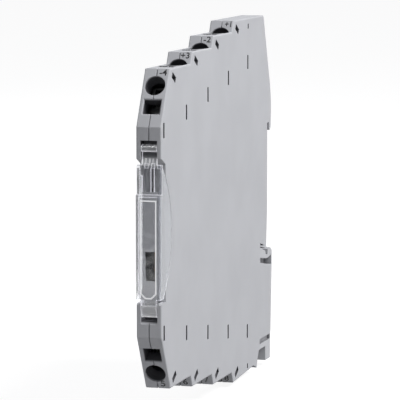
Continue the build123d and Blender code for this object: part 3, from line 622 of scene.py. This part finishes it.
class TRANSMITTER_OT_border(bpy.types.Operator):
    """Prints the white border on the front of the cover"""

    bl_idname = "transmitter.border"
    bl_label = "Printed border"

    def execute(self, context):
        look = context.scene.transmitter_cover
        width = BORDER_RIGHT - BORDER_LEFT
        height = BORDER_HIGH - BORDER_LOW
        deselect_all()
        bpy.ops.mesh.primitive_plane_add(size=1.0, location=(0, 0, 0), rotation=(pi / 2, 0, 0))
        piece = context.object
        bpy.ops.object.transform_apply(location=True, rotation=True, scale=True)
        size = Matrix.Diagonal((width * MM, 1.0, height * MM, 1.0))
        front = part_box("front_cover")[0].y
        middle = ((BORDER_LEFT + width / 2) * MM, front, (BORDER_LOW + height / 2) * MM)
        move_mesh(piece, Matrix.Translation(middle) @ size)
        bpy.ops.object.mode_set(mode="EDIT")
        bpy.ops.mesh.select_mode(type="VERT")
        select_where(piece, lambda place: place.z < 0)
        bpy.ops.mesh.bevel(
            offset_type="ABSOLUTE", offset=BORDER_CORNER * MM, segments=1, affect="VERTICES"
        )
        bpy.ops.mesh.select_all(action="SELECT")
        bpy.ops.mesh.inset(thickness=look.line, depth=0)
        bpy.ops.mesh.delete(type="FACE")
        bpy.ops.mesh.select_all(action="SELECT")
        bpy.ops.mesh.extrude_region_move(TRANSFORM_OT_translate={"value": (0, -look.ink_height, 0)})
        bpy.ops.mesh.select_all(action="SELECT")
        bpy.ops.mesh.normals_make_consistent(inside=False)
        bpy.ops.object.mode_set(mode="OBJECT")
        # Screen-printed white ink on a clear sheet: opaque, with a painted glow that stands for light coming
        # through from behind
        ink = finish_with(
            "white print",
            "#F2F3F4",
            "#ECEDEE",
            tone=1.0 * MM,
            grain=0.2 * MM,
            depth=0.002 * MM,
            Roughness=0.5,
            Emission_Color=hex_colour("#F4F5F7"),
            Emission_Strength=look.ink_glow,
        )
        name_piece("cover_border", ink, "front_cover")
        return {"FINISHED"}


class TRANSMITTER_OT_ribs(bpy.types.Operator):
    """Moulds the ribs and grip teeth on the head of the cover"""

    bl_idname = "transmitter.ribs"
    bl_label = "Ribs of the cover"

    def execute(self, context):
        bars = []
        for middle, width, low, high, root, proud in RIBS:
            deselect_all()
            bpy.ops.mesh.primitive_cube_add(size=1.0, location=(0, 0, 0))
            bar = context.object
            front, back = sorted((root - proud, root + copysign(RIB_ROOT, proud)))
            size = Matrix.Diagonal((width * MM, (back - front) * MM, (high - low) * MM, 1.0))
            place = (middle * MM, (front + back) / 2 * MM, (low + high) / 2 * MM)
            move_mesh(bar, Matrix.Translation(place) @ size)
            bpy.ops.object.mode_set(mode="EDIT")
            bpy.ops.mesh.select_all(action="SELECT")
            bpy.ops.mesh.bevel(offset=RIB_BEVEL * MM, segments=2, affect="EDGES")
            bpy.ops.object.mode_set(mode="OBJECT")
            bars.append(bar)
        join_pieces(bars)
        clear = bpy.data.materials["clear polycarbonate"]
        name_piece("cover_ribs", clear, "front_cover")
        return {"FINISHED"}


def face_matrix(level, side):
    """Frame on a terminal face at its outer edge: X right, Y up as read, Z out of the face."""
    depth = level_depth(level) - SEAT_DEPTH
    height = side * level_height(level)
    up = Vector((0, side * sin(FACE_LEAN), cos(FACE_LEAN)))
    out = Vector((0, -cos(FACE_LEAN), side * sin(FACE_LEAN)))
    turn = Matrix((Vector((1, 0, 0)), up, out)).transposed().to_4x4()
    return Matrix.Translation((0, depth * MM, height * MM)) @ turn


def printed_number(look, text, level, side, thickness):
    """One terminal number, raised from its face by the thickness of the ink."""
    deselect_all()
    bpy.ops.object.text_add(location=(0, 0, 0))
    label = bpy.context.object
    label.data.body = text
    label.data.offset = look.weight
    label.data.resolution_u = 4
    bpy.ops.object.convert(target="MESH")
    corners = [vertex.co for vertex in label.data.vertices]
    low = Vector(min(c[axis] for c in corners) for axis in range(3))
    high = Vector(max(c[axis] for c in corners) for axis in range(3))
    signs = {"+": look.plus, "-": look.minus}
    digit = look.digit * (ONE_SHARE if text[-1] == "1" else 1.0)
    width = digit + signs.get(text[0], 0.0)
    left = (look.side if side > 0 else look.low_side) - width
    height = look.height if side > 0 else look.low_height
    bottom = -look.gap - height if side > 0 else look.low_gap
    start = Matrix.Translation((-low.x, -low.y, 0))
    scale = Matrix.Diagonal((width / (high.x - low.x), height / (high.y - low.y), 1.0, 1.0))
    place = Matrix.Translation((left, bottom, 0))
    face = face_matrix(level, side)
    move_mesh(label, face @ place @ scale @ start)
    out = face.to_3x3() @ Vector((0, 0, thickness))
    bpy.ops.object.mode_set(mode="EDIT")
    bpy.ops.mesh.select_all(action="SELECT")
    bpy.ops.mesh.extrude_region_move(TRANSFORM_OT_translate={"value": out})
    bpy.ops.mesh.select_all(action="SELECT")
    bpy.ops.mesh.normals_make_consistent(inside=False)
    bpy.ops.object.mode_set(mode="OBJECT")
    return label


class TRANSMITTER_OT_numbers(bpy.types.Operator):
    """Prints the terminal numbers on the stepped faces"""

    bl_idname = "transmitter.numbers"
    bl_label = "Terminal numbers"

    def execute(self, context):
        look = context.scene.transmitter_numbers
        thickness = context.scene.transmitter_cover.ink_height
        labels = []
        for side, numbers in ((1, UPPER_NUMBERS), (-1, LOWER_NUMBERS)):
            for level, number in enumerate(numbers):
                labels.append(printed_number(look, number, level, side, thickness))
        join_pieces(labels)
        # Pad-printed dark ink: opaque, with a dull sheen
        ink = finish_with(
            "dark print",
            look.ink,
            "#202023",
            tone=1.0 * MM,
            grain=0.2 * MM,
            depth=0.002 * MM,
            Roughness=0.55,
            IOR=1.5,
        )
        name_piece("terminal_numbers", ink, "housing")
        return {"FINISHED"}


# Metal and electronic finishes
class TRANSMITTER_OT_clamps(bpy.types.Operator):
    """Finishes the contact bars, the clamp springs and the latch spring"""

    bl_idname = "transmitter.clamps"
    bl_label = "Clamps and springs"

    def execute(self, context):
        # Rolled stainless spring strip: bright, with faint rolling marks
        spring = finish_with(
            "rolled spring steel",
            "#B6B7B9",
            "#A7A8AA",
            tone=1.2 * MM,
            grain=0.15 * MM,
            depth=0.002 * MM,
            edge=0.05 * MM,
            Metallic=1.0,
            Roughness=0.3,
        )
        give(spring, "latch_spring", *nodes_named("clamp_spring_"))
        # Electroplated matt tin over copper: whiter and softer than steel
        tin = finish_with(
            "matt tin plate",
            "#D2D1CE",
            "#C4C3BF",
            tone=0.9 * MM,
            grain=0.12 * MM,
            depth=0.002 * MM,
            edge=0.05 * MM,
            Metallic=1.0,
            Roughness=0.42,
        )
        give(tin, *nodes_named("contact_bar_"))
        return {"FINISHED"}


class TRANSMITTER_OT_board(bpy.types.Operator):
    """Finishes the circuit board and what stands on it"""

    bl_idname = "transmitter.board"
    bl_label = "Board and parts"

    def execute(self, context):
        # Glass-epoxy board under green solder mask: dark glossy green with paler tracks
        board = finish_with(
            "solder mask",
            "#1C5A34",
            "#123F25",
            tone=1.6 * MM,
            grain=0.5 * MM,
            depth=0.004 * MM,
            Roughness=0.3,
            IOR=1.5,
            Coat_Weight=0.3,
        )
        give(board, "circuit_board")
        # Black glass-filled polyester of the socket, with a satin mould finish
        socket = finish_with(
            "black polyester",
            "#1A1A1C",
            "#222225",
            tone=2.0 * MM,
            grain=0.2 * MM,
            depth=0.004 * MM,
            edge=0.08 * MM,
            Roughness=0.4,
        )
        give(socket, "setup_socket")
        # Gold flash on the contacts: thin and mirror-like
        gold = finish_with(
            "gold flash",
            "#D9B45A",
            "#CDA64C",
            tone=0.8 * MM,
            grain=0.1 * MM,
            depth=0.001 * MM,
            Metallic=1.0,
            Roughness=0.22,
        )
        give(gold, "socket_contacts")
        # Sintered ferrite: near black, dry and finely pitted
        ferrite = finish_with(
            "sintered ferrite",
            "#2E2E31",
            "#39393C",
            tone=0.8 * MM,
            grain=0.15 * MM,
            depth=0.01 * MM,
            edge=0.08 * MM,
            Roughness=0.65,
        )
        give(ferrite, "transformer_core", "inductor")
        # Amber polyimide tape wound over the coil: smooth and glossy, with faint wrinkles
        tape = finish_with(
            "polyimide tape",
            "#B9791F",
            "#A66A18",
            tone=3.0 * MM,
            grain=0.8 * MM,
            depth=0.01 * MM,
            edge=0.08 * MM,
            Roughness=0.25,
        )
        give(tape, "transformer_winding")
        # Black moulded epoxy of the chips: dull, with an eroded top
        resin = finish_with(
            "moulded epoxy",
            "#232325",
            "#2B2B2D",
            tone=1.5 * MM,
            grain=0.12 * MM,
            depth=0.006 * MM,
            edge=0.05 * MM,
            Roughness=0.6,
        )
        give(resin, "controller_chip", "coupler_1", "coupler_2")
        # Ochre epoxy of the tantalum capacitors: opaque, with a satin skin from the mould
        ochre = finish_with(
            "ochre epoxy",
            "#C98A3A",
            "#BC7D30",
            tone=1.5 * MM,
            grain=0.15 * MM,
            depth=0.005 * MM,
            edge=0.06 * MM,
            Roughness=0.5,
        )
        give(ochre, "capacitor_1", "capacitor_2")
        return {"FINISHED"}


# Stage
def area_lamp(name, direction, target, size, share):
    """Square lamp that lights a white surface facing it, at the target, to a share of white."""
    towards = Vector(direction).normalized()
    data = bpy.data.lights.new(name, "AREA")
    data.shape = "SQUARE"
    data.size = size
    data.energy = share * pi * pi * LAMP_DISTANCE * LAMP_DISTANCE
    lamp = bpy.data.objects.new(name, data)
    lamp.location = target + towards * LAMP_DISTANCE
    lamp.rotation_euler = (-towards).to_track_quat("-Z", "Y").to_euler()
    bpy.context.scene.collection.objects.link(lamp)
    return lamp


def seen_directly(tree):
    """1 where the camera sees a surface straight on, in gloss or through the clear cover, else 0."""
    path = add_node(tree, "ShaderNodeLightPath")
    rays = (path.outputs["Is Camera Ray"], path.outputs["Is Glossy Ray"])
    gloss = add_node(tree, MATH, rays, operation="MAXIMUM")
    through = add_node(tree, MATH, (gloss, path.outputs["Is Transmission Ray"]), operation="MAXIMUM")
    straight = add_node(tree, MATH, (path.outputs["Diffuse Depth"], 0.5), operation="LESS_THAN")
    return add_node(tree, MATH, (through, straight), operation="MULTIPLY")


def dim_in_gloss(tree, distance, dark_from, light_from):
    """1, but dim towards the front for what a gloss shows, as a studio is on its camera's side."""
    fading = {"Value": distance, "From Min": dark_from, "From Max": light_from, "To Min": FRONT_DIM}
    front = add_node(tree, "ShaderNodeMapRange", fading).outputs["Result"]
    path = add_node(tree, "ShaderNodeLightPath")
    straight = add_node(tree, MATH, (path.outputs["Glossy Depth"], 0.5), operation="LESS_THAN")
    return add_node(tree, MATH, (straight, front), operation="MAXIMUM")


def paper_floor(look, height):
    """White paper under the case, which the camera sees as white and the case as a soft light."""
    deselect_all()
    bpy.ops.mesh.primitive_plane_add(size=FLOOR_SIZE, location=(0, 0, height))
    floor = bpy.context.object
    floor.name = "studio_floor"
    material, output = new_material("white paper floor")
    tree = material.node_tree
    place = add_node(tree, "ShaderNodeTexCoord").outputs["Object"]
    away = add_node(tree, "ShaderNodeSeparateXYZ", {"Vector": place}).outputs["Y"]
    near = dim_in_gloss(tree, away, *FLOOR_FADE)
    paper = {"Factor": near, "A": hex_colour("#000000"), "B": hex_colour(PAPER_GREY)}
    grey = add_node(tree, "ShaderNodeMix", paper, data_type="RGBA").outputs["Result"]
    shown = add_node(tree, "ShaderNodeBsdfDiffuse", {"Color": grey})
    light = add_node(tree, MATH, (near, PAPER_GLOW), operation="MULTIPLY")
    glow = add_node(tree, "ShaderNodeEmission", {"Strength": light})
    bright = add_node(tree, "ShaderNodeAddShader", (shown, glow))
    dim_grey = (look.floor, look.floor, look.floor, 1.0)
    dim = add_node(tree, "ShaderNodeBsdfDiffuse", {"Color": dim_grey})
    mixed = add_node(tree, "ShaderNodeMixShader", (seen_directly(tree), dim, bright))
    # From below, the floor is left out so that the underside can be looked at
    under = add_node(tree, "ShaderNodeNewGeometry").outputs["Backfacing"]
    nothing = add_node(tree, "ShaderNodeBsdfTransparent")
    paper_side = add_node(tree, "ShaderNodeMixShader", (under, mixed, nothing))
    tree.links.new(paper_side.outputs[0], output.inputs["Surface"])
    floor.data.materials.append(material)
    return floor


def studio_world(look):
    """White round the case for the camera, and a soft even light for the case."""
    world = bpy.data.worlds.new("studio")
    bpy.context.scene.world = world
    world.use_nodes = True
    world.node_tree.nodes.clear()
    sky = world.node_tree
    ambient = add_node(
        sky, "ShaderNodeBackground", {"Color": hex_colour(look.sky), "Strength": look.around}
    )
    direction = add_node(sky, "ShaderNodeTexCoord").outputs["Generated"]
    forwards = add_node(sky, "ShaderNodeSeparateXYZ", {"Vector": direction}).outputs["Y"]
    near = dim_in_gloss(sky, forwards, *WORLD_FADE)
    white = add_node(sky, "ShaderNodeBackground", {"Color": hex_colour("#FFFFFF"), "Strength": near})
    both = add_node(sky, "ShaderNodeMixShader", (seen_directly(sky), ambient, white))
    end = add_node(sky, "ShaderNodeOutputWorld")
    sky.links.new(both.outputs[0], end.inputs["Surface"])


def studio_lamps(look, target):
    """The key lamp on the right and above, the fill lamp on the left and behind, and the glints."""
    area_lamp("key_lamp", KEY_DIRECTION, target, LAMP_SIZE, look.key)
    fill = area_lamp("fill_lamp", FILL_DIRECTION, target, LAMP_SIZE, look.fill)
    fill.visible_glossy = False
    fill.visible_transmission = False
    clear_pieces = bpy.data.collections.new("clear_pieces")
    clear_pieces.objects.link(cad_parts["front_cover"])
    clear_pieces.objects.link(bpy.data.objects["cover_ribs"])
    for name, (direction, share, size) in GLINTS.items():
        glint = area_lamp(name, direction, target, size, share * look.glint)
        glint.visible_diffuse = False
        glint.visible_camera = False
        glint.visible_transmission = False
        glint.light_linking.receiver_collection = clear_pieces


def photo_camera(look):
    """The camera at the photo's angle, turned to the left and tilted down."""
    data = bpy.data.cameras.new("camera")
    data.sensor_width = SENSOR_WIDTH
    data.lens = SENSOR_WIDTH * look.focal / PHOTO_WIDTH
    data.clip_start = 0.01
    camera = bpy.data.objects.new("camera", data)
    camera.location = CAMERA_PLACE
    view = Matrix.Rotation(look.yaw, 3, "Z") @ Matrix.Rotation(-look.pitch, 3, "X")
    camera.rotation_euler = (view @ Euler((pi / 2, 0, 0)).to_matrix()).to_euler()
    bpy.context.scene.collection.objects.link(camera)
    return camera


class TRANSMITTER_OT_stage(bpy.types.Operator):
    """Sets the floor, the lamps, the world and the camera"""

    bl_idname = "transmitter.stage"
    bl_label = "Stage"

    def execute(self, context):
        look = context.scene.transmitter_stage
        low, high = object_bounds()
        floor = paper_floor(look, low.z - FLOOR_DROP * MM)
        floor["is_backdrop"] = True
        studio_world(look)
        studio_lamps(look, (low + high) / 2)
        context.scene.camera = photo_camera(look)
        context.scene.view_settings.view_transform = "Standard"
        return {"FINISHED"}


class TRANSMITTER_PT_panel(bpy.types.Panel):
    """Sidebar panel that lists the steps"""

    bl_idname = "TRANSMITTER_PT_panel"
    bl_label = "Temperature transmitter"
    bl_space_type = "VIEW_3D"
    bl_region_type = "UI"
    bl_category = "Transmitter"

    def draw(self, context):
        for name in SETTINGS:
            box = self.layout.box()
            settings = getattr(context.scene, name)
            for field in settings.bl_rna.properties:
                if not field.is_readonly and field.identifier != "name":
                    box.prop(settings, field.identifier)
        for operator in OPERATORS:
            self.layout.operator(operator.bl_idname)


SETTINGS = {
    "transmitter_case": CaseFinish,
    "transmitter_cover": CoverFinish,
    "transmitter_numbers": NumberPrint,
    "transmitter_stage": StageSettings,
}
OPERATORS = (
    TRANSMITTER_OT_case,
    TRANSMITTER_OT_cover,
    TRANSMITTER_OT_border,
    TRANSMITTER_OT_ribs,
    TRANSMITTER_OT_numbers,
    TRANSMITTER_OT_clamps,
    TRANSMITTER_OT_board,
    TRANSMITTER_OT_stage,
)


def register():
    """Makes the settings, operators and panel known."""
    for name, group in SETTINGS.items():
        bpy.utils.register_class(group)
        setattr(bpy.types.Scene, name, PointerProperty(type=group))
    for operator in OPERATORS:
        bpy.utils.register_class(operator)
    bpy.utils.register_class(TRANSMITTER_PT_panel)


def unregister():
    """Takes the panel, operators and settings away again."""
    bpy.utils.unregister_class(TRANSMITTER_PT_panel)
    for operator in reversed(OPERATORS):
        bpy.utils.unregister_class(operator)
    for name, group in reversed(SETTINGS.items()):
        delattr(bpy.types.Scene, name)
        bpy.utils.unregister_class(group)


def main():
    """Builds the looks in order."""
    register()
    bpy.ops.transmitter.case()
    bpy.ops.transmitter.cover()
    bpy.ops.transmitter.border()
    bpy.ops.transmitter.ribs()
    bpy.ops.transmitter.numbers()
    bpy.ops.transmitter.clamps()
    bpy.ops.transmitter.board()
    bpy.ops.transmitter.stage()


if __name__ == "__main__":
    main()
